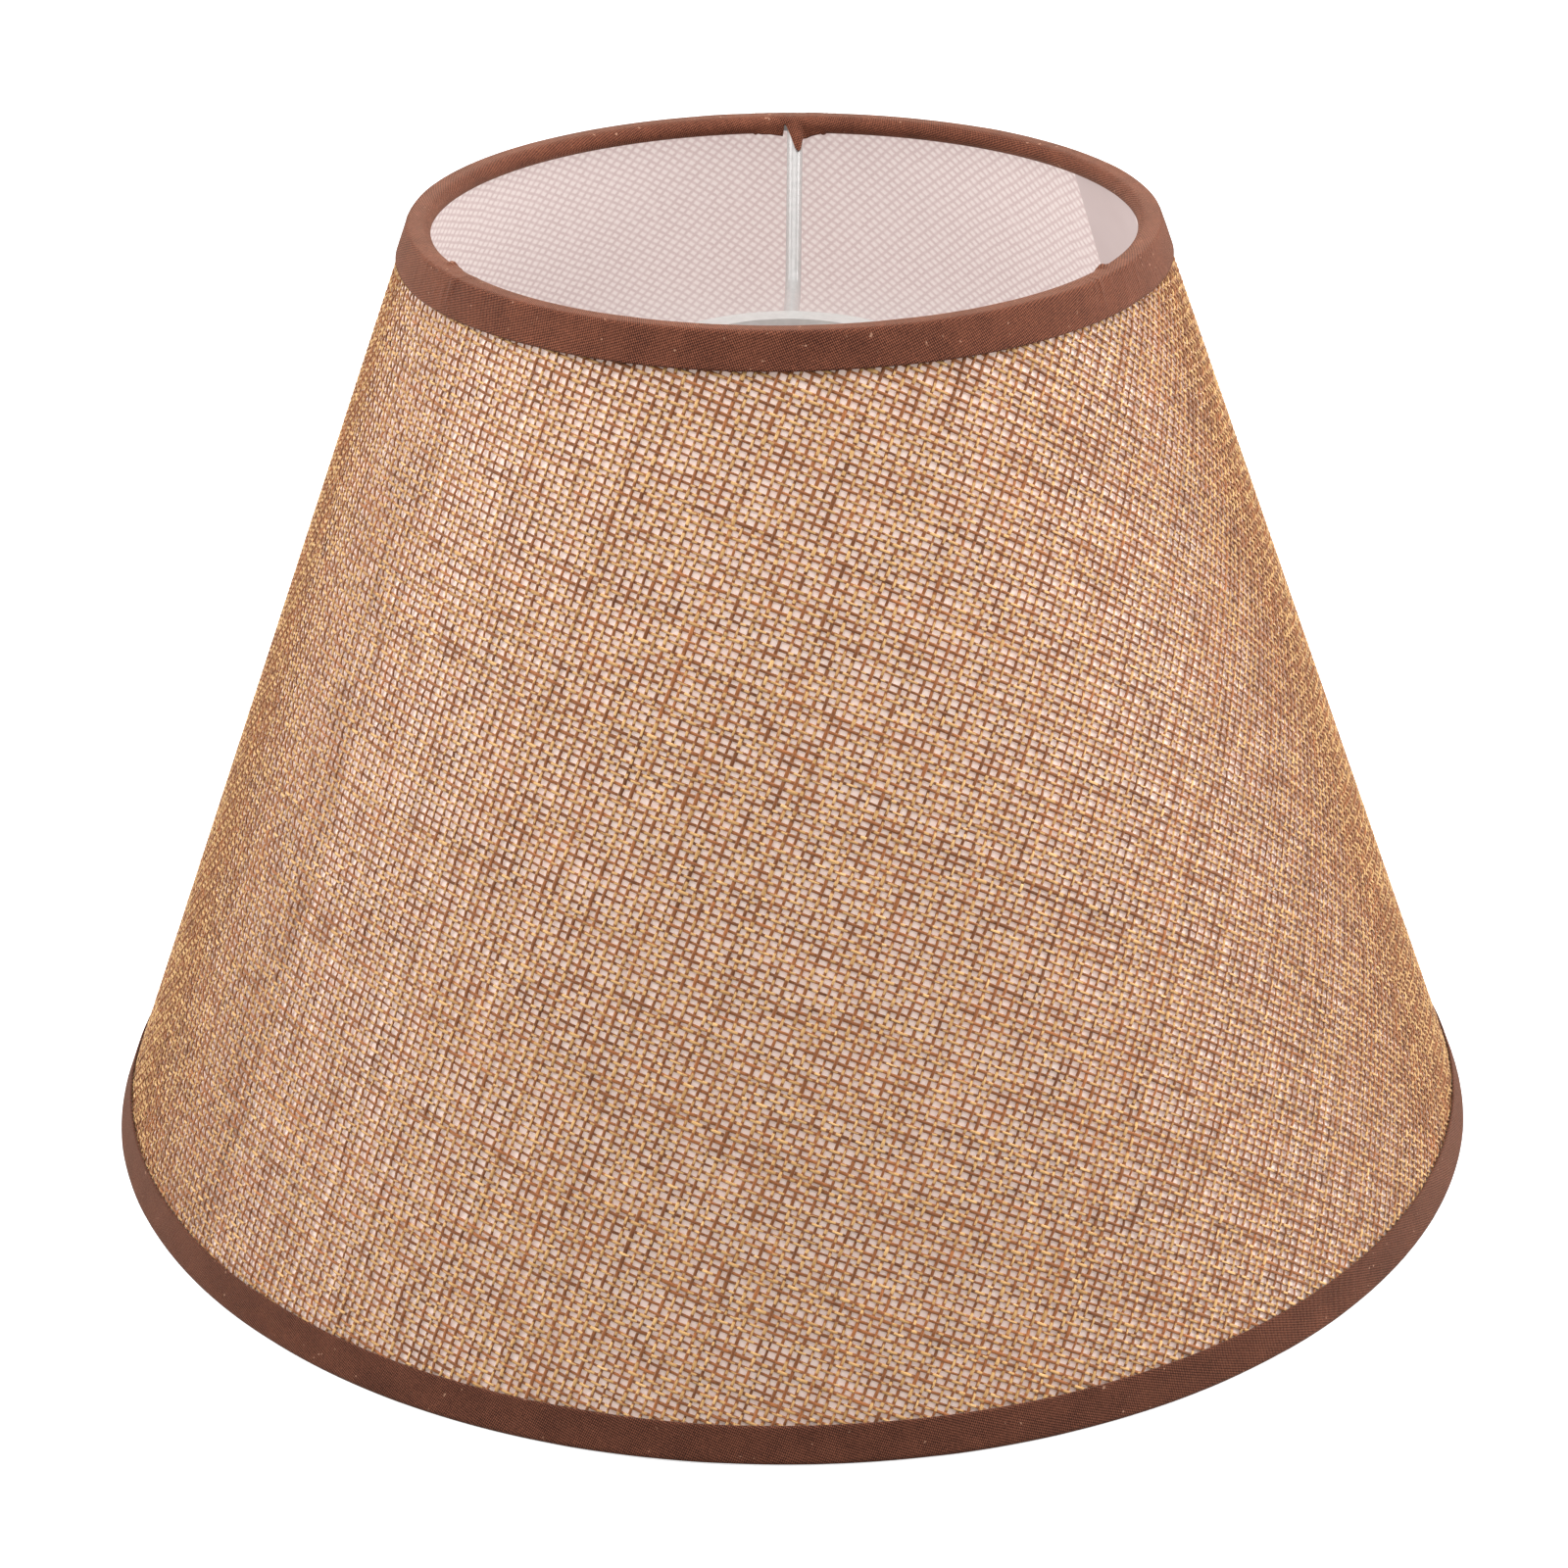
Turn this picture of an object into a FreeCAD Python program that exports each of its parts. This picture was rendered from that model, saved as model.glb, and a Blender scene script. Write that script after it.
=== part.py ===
import FreeCAD, Part
import math
import os

import Sketcher

# Lamp shade: a welded wire frame with a recessed fitter washer, a conical hardback panel, the
# woven cover laminated on it, and a folded bias tape round each rim.
#
# Frame: the origin is the centre of the bottom rim's lowest plane and +Z is up along the shade's
# axis. The rear fitter arm lies on +Y, so -Y is the front. Lengths are in millimetres, angles in
# degrees. A depth is measured square to the wall, inwards from the outside of the fabric.

SIZES = {
    "shade_height": 174.0,          # over both bound rims
    "cover_radius_bottom": 130.5,   # outside of the fabric, at the bottom plane
    "cover_radius_top": 66.0,       # outside of the fabric, at the top plane
    "cover_thickness": 0.7,
    "backing_thickness": 0.4,
    "glue_film": 0.05,
    "binding_thickness": 0.35,
    "top_binding_depth": 6.2,       # how far the tape comes down the outside
    "bottom_binding_depth": 6.5,
    "binding_slit_width": 4.2,      # the tape is slit where a fitter arm leaves the rim
    "hoop_wire_diameter": 2.6,
    "arm_wire_diameter": 3.0,
    "fitter_hole_diameter": 41.0,   # passes an E27 lampholder's thread
    "fitter_outer_diameter": 51.0,
    "fitter_thickness": 1.5,
    "fitter_edge_round": 0.4,
    "fitter_drop": 26.6,            # top rim to the washer's upper face
    "arm_weld_overlap": 2.2,        # how far an arm reaches under the washer
    "arm_bend_distance": 45.5,      # from the shade's axis to the corner where an arm turns up
    "arm_bend_radius": 8.0,
    "arm_cope_depth": 0.4,          # how deep the hoop wire sits in the end of an arm
    "lap_azimuth": 36.5,            # the panel's inner end lies on this radial plane
    "lap_width": 20.0,
    "lap_joggle_width": 1.2,        # where the inner end steps out to the wall
    "lap_setback": 4.0,             # the lap stops this far inside the panel's edges, clear of the hoops
    "seam_gap": 0.3,
    "seam_tape_thickness": 0.15,
}
FITTER_ARM_AZIMUTHS = {"rear": 0, "left": 120, "right": 240}    # turned about +Z from +Y
RIMS = {"top": 1, "bottom": -1}                                 # +1 where the rim faces up
WRAP_END_ANGLE = 285.0      # the tape goes round the hoop wire from 90 degrees to here
LAP_SWEEP = 25.0            # turned first, then trimmed straight to the lap's width
BEYOND = 10.0               # how far a cutting profile runs past what it cuts

doc = FreeCAD.newDocument("lamp_shade")

sheet = doc.addObject("Spreadsheet::Sheet", "Sizes")
for row, (alias, number) in enumerate(SIZES.items(), start=1):
    sheet.set(f"A{row}", alias)
    sheet.set(f"B{row}", str(number))
    sheet.setAlias(f"B{row}", alias)
doc.recompute()

derived = doc.addObject("App::VarSet", "Derived")


def derive(name, expression):
    """Adds a size that is worked out from the sheet and stays bound to it."""
    derived.addProperty("App::PropertyFloat", name)
    derived.setExpression(name, expression)
    return name


def derive_point(name, radius, height):
    """Adds a point of a turned profile, as a radius from the axis and a height."""
    derive(f"{name}_radius", radius)
    derive(f"{name}_height", height)
    return name


def wall_radius(depth, height):
    """The expression for the radius of the sloping wall at a depth and a height."""
    return f"Sizes.cover_radius_bottom - wall_slope * ({height}) - ({depth}) / wall_cosine"


def derive_wall_point(name, depth, height):
    return derive_point(name, wall_radius(depth, height), height)


def point_of(name):
    """A profile point's present place in its sketch."""
    return FreeCAD.Vector(getattr(derived, f"{name}_radius"), getattr(derived, f"{name}_height"), 0)


def origin_feature(body, role):
    """One of a body's own origin planes or axes."""
    return next(item for item in body.Origin.OriginFeatures if item.Role == role)


def new_body(label):
    body = doc.addObject("PartDesign::Body", label)
    body.Label = label
    return body


def new_sketch(body, name, plane):
    sketch = body.newObject("Sketcher::SketchObject", name)
    sketch.AttachmentSupport = (origin_feature(body, plane), [""])
    sketch.MapMode = "FlatFace"
    return sketch


def pin_point(sketch, geometry, vertex, name):
    """Fixes a sketch point to a derived point's two sizes."""
    across = f"{name}_across"
    upwards = f"{name}_up"
    place = point_of(name)
    sketch.addConstraint(Sketcher.Constraint("DistanceX", -1, 1, geometry, vertex, place.x))
    sketch.renameConstraint(sketch.ConstraintCount - 1, across)
    sketch.addConstraint(Sketcher.Constraint("DistanceY", -1, 1, geometry, vertex, place.y))
    sketch.renameConstraint(sketch.ConstraintCount - 1, upwards)
    sketch.setExpression(f"Constraints.{across}", f"Derived.{name}_radius")
    sketch.setExpression(f"Constraints.{upwards}", f"Derived.{name}_height")


def arc_about(centre, start, end, anticlockwise):
    """An arc from start to end, and which of its ends each of the two is."""
    first, last = (start, end) if anticlockwise else (end, start)
    radius = (start - centre).Length
    angles = [math.atan2(point.y - centre.y, point.x - centre.x) for point in (first, last)]
    if angles[1] < angles[0]:
        angles[1] += 2 * math.pi
    circle = Part.Circle(centre, FreeCAD.Vector(0, 0, 1), radius)
    return Part.ArcOfCircle(circle, *angles), ((1, 2) if anticlockwise else (2, 1))


def draw_profile(sketch, corners):
    """Draws a closed outline through named points.

    A corner is a point's name, or (name, centre, anticlockwise, radius expression) where the edge
    that leaves it is an arc.
    """
    edges = []
    for index, corner in enumerate(corners):
        arc = None if isinstance(corner, str) else corner
        following = corners[(index + 1) % len(corners)]
        start_name = corner if arc is None else arc[0]
        end_name = following if isinstance(following, str) else following[0]
        start = point_of(start_name)
        end = point_of(end_name)
        if arc is None:
            number = sketch.addGeometry(Part.LineSegment(start, end), False)
            ends = (1, 2)
        else:
            shape, ends = arc_about(point_of(arc[1]), start, end, arc[2])
            number = sketch.addGeometry(shape, False)
            sketch.addConstraint(Sketcher.Constraint("Radius", number, shape.Radius))
            sketch.renameConstraint(sketch.ConstraintCount - 1, f"{start_name}_arc")
            sketch.setExpression(f"Constraints.{start_name}_arc", arc[3])
        edges.append((number, ends, start_name))
    for index, (number, ends, start_name) in enumerate(edges):
        following_number, following_ends, _ = edges[(index + 1) % len(edges)]
        sketch.addConstraint(
            Sketcher.Constraint("Coincident", number, ends[1], following_number, following_ends[0])
        )
        pin_point(sketch, number, ends[0], start_name)


def turn(body, name, sketch, angle=360.0):
    """Revolves a sketch about the shade's axis."""
    revolution = body.newObject("PartDesign::Revolution", name)
    revolution.Profile = sketch
    revolution.ReferenceAxis = (sketch, ["V_Axis"])
    revolution.Angle = angle
    sketch.Visibility = False
    body.Tip = revolution
    return revolution


def derive_rectangle(name, left, right, low, high):
    """Adds the four corners of a rectangle in a sketch, and returns their names in order."""
    return [
        derive_point(f"{name}_low_left", left, low),
        derive_point(f"{name}_low_right", right, low),
        derive_point(f"{name}_high_right", right, high),
        derive_point(f"{name}_high_left", left, high),
    ]


def derive_wall_band(name, outer_depth, inner_depth, setback="0"):
    """Adds the corners of a band of the wall from edge to edge, and returns them in order."""
    low = f"bottom_edge_height + {setback}"
    high = f"top_edge_height - {setback}"
    return [
        derive_wall_point(f"{name}_bottom_inner", inner_depth, low),
        derive_wall_point(f"{name}_bottom_outer", outer_depth, low),
        derive_wall_point(f"{name}_top_outer", outer_depth, high),
        derive_wall_point(f"{name}_top_inner", inner_depth, high),
    ]


def cut_down(body, name, sketch):
    """Cuts a plan outline through the whole height of a body, and checks that it cut."""
    doc.recompute()
    volume_before = body.Shape.Volume
    pocket = body.newObject("PartDesign::Pocket", name)
    pocket.Profile = sketch
    pocket.Type = "ThroughAll"
    pocket.Midplane = True
    sketch.Visibility = False
    body.Tip = pocket
    doc.recompute()
    if body.Shape.Volume >= volume_before:
        raise RuntimeError(f"{name} removed nothing")
    return pocket


# Worked-out sizes: the wall's slope and layers, then each rim.
derive("wall_slope", "(Sizes.cover_radius_bottom - Sizes.cover_radius_top) / Sizes.shade_height")
derive("wall_cosine", "1 / sqrt(1 + wall_slope ^ 2)")
derive("hoop_wire_reach", "Sizes.hoop_wire_diameter / 2")
derive("wrap_inner_reach", "hoop_wire_reach + Sizes.glue_film")
derive("wrap_outer_reach", "wrap_inner_reach + Sizes.binding_thickness")
derive("backing_outer_depth", "Sizes.cover_thickness + Sizes.glue_film")
derive("backing_inner_depth", "backing_outer_depth + Sizes.backing_thickness")
derive("hoop_centre_depth", "backing_inner_depth + Sizes.glue_film + hoop_wire_reach")

for rim, facing in RIMS.items():
    plane = "Sizes.shade_height" if facing > 0 else "0"
    skin = "(Sizes.binding_thickness + Sizes.glue_film)"
    derive(f"{rim}_edge_height", f"{plane} - ({facing}) * {skin}")
    derive_wall_point(
        f"{rim}_hoop_centre", "hoop_centre_depth", f"{rim}_edge_height - ({facing}) * hoop_wire_reach"
    )
    flange_end = f"{plane} - ({facing}) * Sizes.{rim}_binding_depth"
    derive_wall_point(f"{rim}_flange_outer", f"-{skin}", flange_end)
    derive_wall_point(f"{rim}_flange_inner", "-Sizes.glue_film", flange_end)
    derive_wall_point(f"{rim}_crown_outer", f"-{skin}", plane)
    crown_inner = f"{rim}_edge_height + ({facing}) * Sizes.glue_film"
    derive_wall_point(f"{rim}_crown_inner", "-Sizes.glue_film", crown_inner)
    for side in ("inner", "outer"):
        reach = f"wrap_{side}_reach"
        centre_radius = f"{rim}_hoop_centre_radius"
        centre_height = f"{rim}_hoop_centre_height"
        derive_point(
            f"{rim}_wrap_start_{side}", centre_radius, f"{centre_height} + ({facing}) * {reach}"
        )
        derive_point(
            f"{rim}_wrap_end_{side}",
            f"{centre_radius} + {reach} * cos({WRAP_END_ANGLE})",
            f"{centre_height} + ({facing}) * {reach} * sin({WRAP_END_ANGLE})",
        )

# The lap: in plan its far edge is a straight line, parallel to the radial plane of its near edge.
derive("tape_inner_depth", "backing_inner_depth + Sizes.seam_tape_thickness")
derive("lap_inner_depth", "tape_inner_depth + Sizes.backing_thickness")
derive("seam_near_line", "-Sizes.lap_width")
derive("seam_far_line", "seam_near_line - Sizes.seam_gap")
derive("joggle_line", "seam_far_line - Sizes.lap_joggle_width")
derive("plan_limit", f"Sizes.cover_radius_bottom + {BEYOND}")

cover_band = derive_wall_band("cover", "0", "Sizes.cover_thickness")
backing_band = derive_wall_band("backing", "backing_outer_depth", "backing_inner_depth")
lap_band = derive_wall_band("lap", "backing_inner_depth", "lap_inner_depth", "Sizes.lap_setback")
tape_band = derive_wall_band("tape", "backing_inner_depth", "tape_inner_depth", "Sizes.lap_setback")
seam_outline = derive_rectangle("seam", "0", "plan_limit", "seam_far_line", "seam_near_line")
lap_trim = derive_rectangle("lap_trim", "0", "plan_limit", "-plan_limit", "joggle_line")
tape_trim = derive_rectangle("tape_trim", "0", "plan_limit", "-plan_limit", "seam_far_line")

# The fitter: the washer lies level, and each arm runs under it, bends up and ends on the hoop.
derive("fitter_top_height", "Sizes.shade_height - Sizes.fitter_drop")
derive("fitter_under_height", "fitter_top_height - Sizes.fitter_thickness")
derive("arm_level_height", "fitter_under_height - Sizes.arm_wire_diameter / 2")
derive("arm_rise", "top_hoop_centre_height - arm_level_height")
derive("arm_run", "top_hoop_centre_radius - Sizes.arm_bend_distance")
derive("arm_slope_length", "sqrt(arm_rise ^ 2 + arm_run ^ 2)")
derive("arm_rise_share", "arm_rise / arm_slope_length")
derive("arm_run_share", "arm_run / arm_slope_length")
derive("arm_bend_tangent", "Sizes.arm_bend_radius * arm_rise_share / (1 + arm_run_share)")
derive("arm_end_gap", "hoop_wire_reach - Sizes.arm_cope_depth")
derive_point(
    "arm_foot", "Sizes.fitter_outer_diameter / 2 - Sizes.arm_weld_overlap", "arm_level_height"
)
derive_point("arm_bend_start", "Sizes.arm_bend_distance - arm_bend_tangent", "arm_level_height")
derive_point(
    "arm_bend_end",
    "Sizes.arm_bend_distance + arm_bend_tangent * arm_run_share",
    "arm_level_height + arm_bend_tangent * arm_rise_share",
)
derive_point("arm_bend_centre", "arm_bend_start_radius", "arm_level_height + Sizes.arm_bend_radius")
derive_point(
    "arm_head",
    "top_hoop_centre_radius - arm_end_gap * arm_run_share",
    "top_hoop_centre_height - arm_end_gap * arm_rise_share",
)

# Where the tape is slit, in plan: across the arm, and out to where the tape ends under the hoop.
derive("slit_half_width", "Sizes.binding_slit_width / 2")
slit_outline = derive_rectangle(
    "slit",
    "-slit_half_width",
    "slit_half_width",
    f"top_hoop_centre_radius - {BEYOND}",
    "top_wrap_end_outer_radius + Sizes.glue_film",
)
doc.recompute()


def make_hoop(rim):
    """A hoop of round wire, closed by a butt weld."""
    hoop = doc.addObject("Part::Torus", f"{rim}_hoop_wire")
    hoop.setExpression("Radius1", f"Derived.{rim}_hoop_centre_radius")
    hoop.setExpression("Radius2", "Derived.hoop_wire_reach")
    hoop.setExpression("Placement.Base.z", f"Derived.{rim}_hoop_centre_height")
    return hoop


def make_fitter_washer():
    """The stamped washer that the lampholder passes through."""
    body = new_body("fitter_washer")
    sketch = new_sketch(body, "fitter_washer_outline", "XY_Plane")
    for name, size in (("rim", "fitter_outer_diameter"), ("hole", "fitter_hole_diameter")):
        circle = Part.Circle(FreeCAD.Vector(), FreeCAD.Vector(0, 0, 1), SIZES[size] / 2)
        number = sketch.addGeometry(circle, False)
        sketch.addConstraint(Sketcher.Constraint("Coincident", number, 3, -1, 1))
        sketch.addConstraint(Sketcher.Constraint("Diameter", number, SIZES[size]))
        sketch.renameConstraint(sketch.ConstraintCount - 1, name)
        sketch.setExpression(f"Constraints.{name}", f"Sizes.{size}")
    sketch.setExpression("AttachmentOffset.Base.z", "Derived.fitter_under_height")
    pad = body.newObject("PartDesign::Pad", "fitter_washer_blank")
    pad.Profile = sketch
    pad.setExpression("Length", "Sizes.fitter_thickness")
    sketch.Visibility = False
    doc.recompute()
    outer_radius = SIZES["fitter_outer_diameter"] / 2
    rim_edges = [
        f"Edge{index}"
        for index, edge in enumerate(pad.Shape.Edges, start=1)
        if isinstance(edge.Curve, Part.Circle) and abs(edge.Curve.Radius - outer_radius) < 1e-6
    ]
    rounding = body.newObject("PartDesign::Fillet", "fitter_washer_rolled_edge")
    rounding.Base = (pad, rim_edges)
    rounding.setExpression("Radius", "Sizes.fitter_edge_round")
    body.Tip = rounding
    return body


def make_fitter_arm(side, azimuth, hoop):
    """A bent wire from under the washer to the top hoop, its head coped to fit the hoop."""
    body = new_body(f"{side}_arm_wire")
    path = new_sketch(body, f"{side}_arm_path", "YZ_Plane")
    level = path.addGeometry(Part.LineSegment(point_of("arm_foot"), point_of("arm_bend_start")), False)
    bend_shape, bend_ends = arc_about(
        point_of("arm_bend_centre"), point_of("arm_bend_start"), point_of("arm_bend_end"), True
    )
    bend = path.addGeometry(bend_shape, False)
    slope = path.addGeometry(Part.LineSegment(point_of("arm_bend_end"), point_of("arm_head")), False)
    path.addConstraint(Sketcher.Constraint("Coincident", level, 2, bend, bend_ends[0]))
    path.addConstraint(Sketcher.Constraint("Coincident", bend, bend_ends[1], slope, 1))
    path.addConstraint(Sketcher.Constraint("Radius", bend, bend_shape.Radius))
    path.renameConstraint(path.ConstraintCount - 1, "bend")
    path.setExpression("Constraints.bend", "Sizes.arm_bend_radius")
    pin_point(path, level, 1, "arm_foot")
    pin_point(path, level, 2, "arm_bend_start")
    pin_point(path, slope, 1, "arm_bend_end")
    pin_point(path, slope, 2, "arm_head")

    section = new_sketch(body, f"{side}_arm_section", "XZ_Plane")
    section.setExpression("AttachmentOffset.Base.z", "-Derived.arm_foot_radius")
    circle = Part.Circle(
        FreeCAD.Vector(0, derived.arm_foot_height, 0),
        FreeCAD.Vector(0, 0, 1),
        SIZES["arm_wire_diameter"] / 2,
    )
    number = section.addGeometry(circle, False)
    section.addConstraint(Sketcher.Constraint("PointOnObject", number, 3, -2))
    section.addConstraint(Sketcher.Constraint("DistanceY", -1, 1, number, 3, derived.arm_foot_height))
    section.renameConstraint(section.ConstraintCount - 1, "level")
    section.setExpression("Constraints.level", "Derived.arm_foot_height")
    section.addConstraint(Sketcher.Constraint("Diameter", number, SIZES["arm_wire_diameter"]))
    section.renameConstraint(section.ConstraintCount - 1, "wire")
    section.setExpression("Constraints.wire", "Sizes.arm_wire_diameter")
    doc.recompute()

    pipe = body.newObject("PartDesign::AdditivePipe", f"{side}_arm_bent")
    pipe.Profile = section
    pipe.Spine = (path, [f"Edge{index}" for index in (1, 2, 3)])
    path.Visibility = False
    section.Visibility = False
    body.Tip = pipe
    body.Placement = FreeCAD.Placement(
        FreeCAD.Vector(), FreeCAD.Rotation(FreeCAD.Vector(0, 0, 1), azimuth)
    )
    arm = doc.addObject("Part::Cut", f"{side}_fitter_arm")
    arm.Base = body
    arm.Tool = hoop
    return arm


def turn_wall(body, name, corners):
    """A full turn of the wall, parted along the lap's far edge."""
    profile = new_sketch(body, f"{name}_profile", "XZ_Plane")
    draw_profile(profile, corners)
    turn(body, f"{name}_cone", profile)
    outline = new_sketch(body, f"{name}_seam_outline", "XY_Plane")
    outline.setExpression("AttachmentOffset.Rotation.Angle", "Sizes.lap_azimuth")
    draw_profile(outline, seam_outline)
    cut_down(body, f"{name}_seam", outline)
    return body


def turn_lap_strip(label, corners, trim):
    """A strip along the wall's inside, from the lap's near edge to a straight trimmed edge."""
    body = new_body(label)
    profile = new_sketch(body, f"{label}_profile", "XZ_Plane")
    profile.AttachmentOffset = FreeCAD.Placement(
        FreeCAD.Vector(), FreeCAD.Rotation(FreeCAD.Vector(0, 1, 0), SIZES["lap_azimuth"])
    )
    profile.setExpression("AttachmentOffset.Rotation.Angle", f"Sizes.lap_azimuth - {LAP_SWEEP}")
    draw_profile(profile, corners)
    turn(body, f"{label}_cone", profile, LAP_SWEEP)
    outline = new_sketch(body, f"{label}_trim_outline", "XY_Plane")
    outline.setExpression("AttachmentOffset.Rotation.Angle", "Sizes.lap_azimuth")
    draw_profile(outline, trim)
    cut_down(body, f"{label}_trim", outline)
    return body


def make_backing_panel(tape):
    """One conical sheet whose inner end is lapped under its outer end, with the tape between."""
    wall = turn_wall(new_body("backing_wall"), "backing", backing_band)
    lap = turn_lap_strip("backing_lap", lap_band, lap_trim)
    sheet_with_lap = doc.addObject("Part::Fuse", "backing_with_lap")
    sheet_with_lap.Base = wall
    sheet_with_lap.Tool = lap
    panel = doc.addObject("Part::Cut", "backing_panel")
    panel.Base = sheet_with_lap
    panel.Tool = tape
    return panel


def make_binding(rim, facing):
    """A tape folded over the rim: down the outside, over the edge and round the hoop wire."""
    body = new_body(f"{rim}_binding")
    profile = new_sketch(body, f"{rim}_binding_profile", "XZ_Plane")
    centre = f"{rim}_hoop_centre"
    draw_profile(
        profile,
        [
            f"{rim}_flange_outer",
            f"{rim}_crown_outer",
            (f"{rim}_wrap_start_outer", centre, facing > 0, "Derived.wrap_outer_reach"),
            f"{rim}_wrap_end_outer",
            (f"{rim}_wrap_end_inner", centre, facing < 0, "Derived.wrap_inner_reach"),
            f"{rim}_wrap_start_inner",
            f"{rim}_crown_inner",
            f"{rim}_flange_inner",
        ],
    )
    turn(body, f"{rim}_binding_folded", profile)
    return body


def slit_binding(body):
    """Opens the tape's inner side at each fitter arm."""
    outline = new_sketch(body, "slit_outline", "XY_Plane")
    draw_profile(outline, slit_outline)
    slit = cut_down(body, "rear_slit", outline)
    slits = body.newObject("PartDesign::PolarPattern", "arm_slits")
    slits.Originals = [slit]
    slits.Axis = (origin_feature(body, "Z_Axis"), [""])
    slits.Angle = 360
    slits.Occurrences = len(FITTER_ARM_AZIMUTHS)
    body.Tip = slits


hoops = {rim: make_hoop(rim) for rim in RIMS}
arms = [
    make_fitter_arm(side, azimuth, hoops["top"]) for side, azimuth in FITTER_ARM_AZIMUTHS.items()
]
seam_tape = turn_lap_strip("seam_tape", tape_band, tape_trim)
bindings = {rim: make_binding(rim, facing) for rim, facing in RIMS.items()}
slit_binding(bindings["top"])
subparts = [
    *hoops.values(),
    *arms,
    make_fitter_washer(),
    make_backing_panel(seam_tape),
    seam_tape,
    turn_wall(new_body("fabric_cover"), "cover", cover_band),
    *bindings.values(),
]
doc.recompute()

for item in doc.Objects:
    if "Invalid" in item.State or "Error" in item.State:
        raise RuntimeError(f"{item.Label} did not compute: {item.State}")

os.makedirs("parts", exist_ok=True)
for subpart in subparts:
    if subpart.Shape.isNull() or not subpart.Shape.isValid():
        raise RuntimeError(f"{subpart.Label} has no valid shape")
    subpart.Shape.exportStep(f"parts/{subpart.Label}.step")
    box = subpart.Shape.optimalBoundingBox(False, False)
    print(
        f"{subpart.Label:18} {len(subpart.Shape.Solids)} solid, {subpart.Shape.Volume:9.1f} mm3, "
        f"x {box.XMin:8.2f} {box.XMax:8.2f}  y {box.YMin:8.2f} {box.YMax:8.2f}  "
        f"z {box.ZMin:7.2f} {box.ZMax:7.2f}"
    )
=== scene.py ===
import math

import bpy
import numpy as np
from mathutils import Matrix, Vector


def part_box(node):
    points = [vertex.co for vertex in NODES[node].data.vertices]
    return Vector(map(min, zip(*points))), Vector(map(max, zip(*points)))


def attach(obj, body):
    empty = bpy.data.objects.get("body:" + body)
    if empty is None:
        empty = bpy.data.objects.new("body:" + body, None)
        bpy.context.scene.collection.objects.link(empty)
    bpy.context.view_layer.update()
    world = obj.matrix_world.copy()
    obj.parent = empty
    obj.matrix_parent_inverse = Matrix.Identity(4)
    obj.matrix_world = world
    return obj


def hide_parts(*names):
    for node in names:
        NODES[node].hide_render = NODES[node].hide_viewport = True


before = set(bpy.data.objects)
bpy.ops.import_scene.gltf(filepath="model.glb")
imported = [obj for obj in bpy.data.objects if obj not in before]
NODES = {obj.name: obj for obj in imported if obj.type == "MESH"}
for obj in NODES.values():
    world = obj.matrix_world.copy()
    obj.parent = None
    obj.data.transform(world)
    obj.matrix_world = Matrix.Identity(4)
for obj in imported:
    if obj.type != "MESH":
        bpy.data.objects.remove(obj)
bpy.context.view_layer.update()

MM = 0.001

# The cone, in millimetres. The cloth's flat pattern is a ring sector about the cone's apex, so
# a point on the wall is (rho, phi): its distance from the apex and its angle in the flat cloth.
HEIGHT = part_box("top_binding")[1].z / MM
RIM_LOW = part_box("top_binding")[0].z / MM
HEM_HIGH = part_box("bottom_binding")[1].z / MM
BOTTOM_RADIUS = 130.5
TOP_RADIUS = 66.0
COVER_THICKNESS = 0.7
SLOPE = (BOTTOM_RADIUS - TOP_RADIUS) / HEIGHT
HALF_ANGLE = math.atan(SLOPE)
SIN = math.sin(HALF_ANGLE)
COS = math.cos(HALF_ANGLE)
FULL_TURN = 2 * math.pi * SIN       # the flat cloth's angle
APEX = BOTTOM_RADIUS / SLOPE
LAP_TURN = math.radians(36.5)
LAP_WIDTH = 20.0

# The weave, in millimetres on the flat cloth. Set A runs down to the right, and set B up to the
# right.
A_TILT = math.radians(-21.0)
A_PITCH = 1.385
B_PITCH = 1.75
A_STRAY = (0.05, 0.07)              # how far a yarn is out of its place, and wanders on its way
B_STRAY = (0.06, 0.085)
YARN_WIDTH_A = 0.55
YARN_WIDTH_B = 0.60
YARN_DEPTH = 0.33
SLUB = 0.09                         # how unevenly thick the yarns are, as a share
WAVE = 0.155                        # how far a yarn rises and dips at the crossings
SIDES = 6                           # of a yarn's section
SECTORS = 12                        # pieces that the cover is made in, round the shade
SHADES = 8                          # of each ply
LIT_CROWN_GOLD_BELOW = 0.3                  # a crown's face is golden, a painted highlight broken by the random mottle, where the mottle is below this
LIT_CROWN_GOLD_BELOW_DARK = -0.7            # and on the crown's darker side
FIBRES = 26                         # in each sector
FIBRE_RADIUS = 0.028
FIBRE_FOOT = 0.45                   # how high over the panel a fibre leaves the cloth
SEAM_GAP = 0.06                     # between the seam and where the yarns lie flat
TUCK_LIFT = 0.12                    # how high over the panel a yarn turns in at the seam
CLEAR_OF_TAPES = 3.0                # nothing stands off the cloth nearer to a tape than this
WALL_MARGIN = 2.2                   # how far inside the rims the yarns end, under the tapes
HEM_WIDTH = 9.0                     # of the fold beside the seam
HEM_SLOPE = 1.5                     # and of the cloth that leads down from it
HEM_RAISE = 0.3
RHO_MIN = (APEX - HEIGHT + WALL_MARGIN) / COS
RHO_MAX = (APEX - WALL_MARGIN) / COS
RHO_UNDER_TOP = (APEX - RIM_LOW) / COS
RHO_OVER_HEM = (APEX - HEM_HIGH) / COS

rng = np.random.default_rng(20)


def srgb(r, g, b):
    """A colour given in display values from 0 to 255, as Blender's linear RGBA."""
    out = []
    for value in (r, g, b):
        c = value / 255.0
        out.append(c / 12.92 if c <= 0.04045 else ((c + 0.055) / 1.055) ** 2.4)
    return (*out, 1.0)


def grey(value):
    """A linear grey."""
    return (value, value, value, 1.0)


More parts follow.
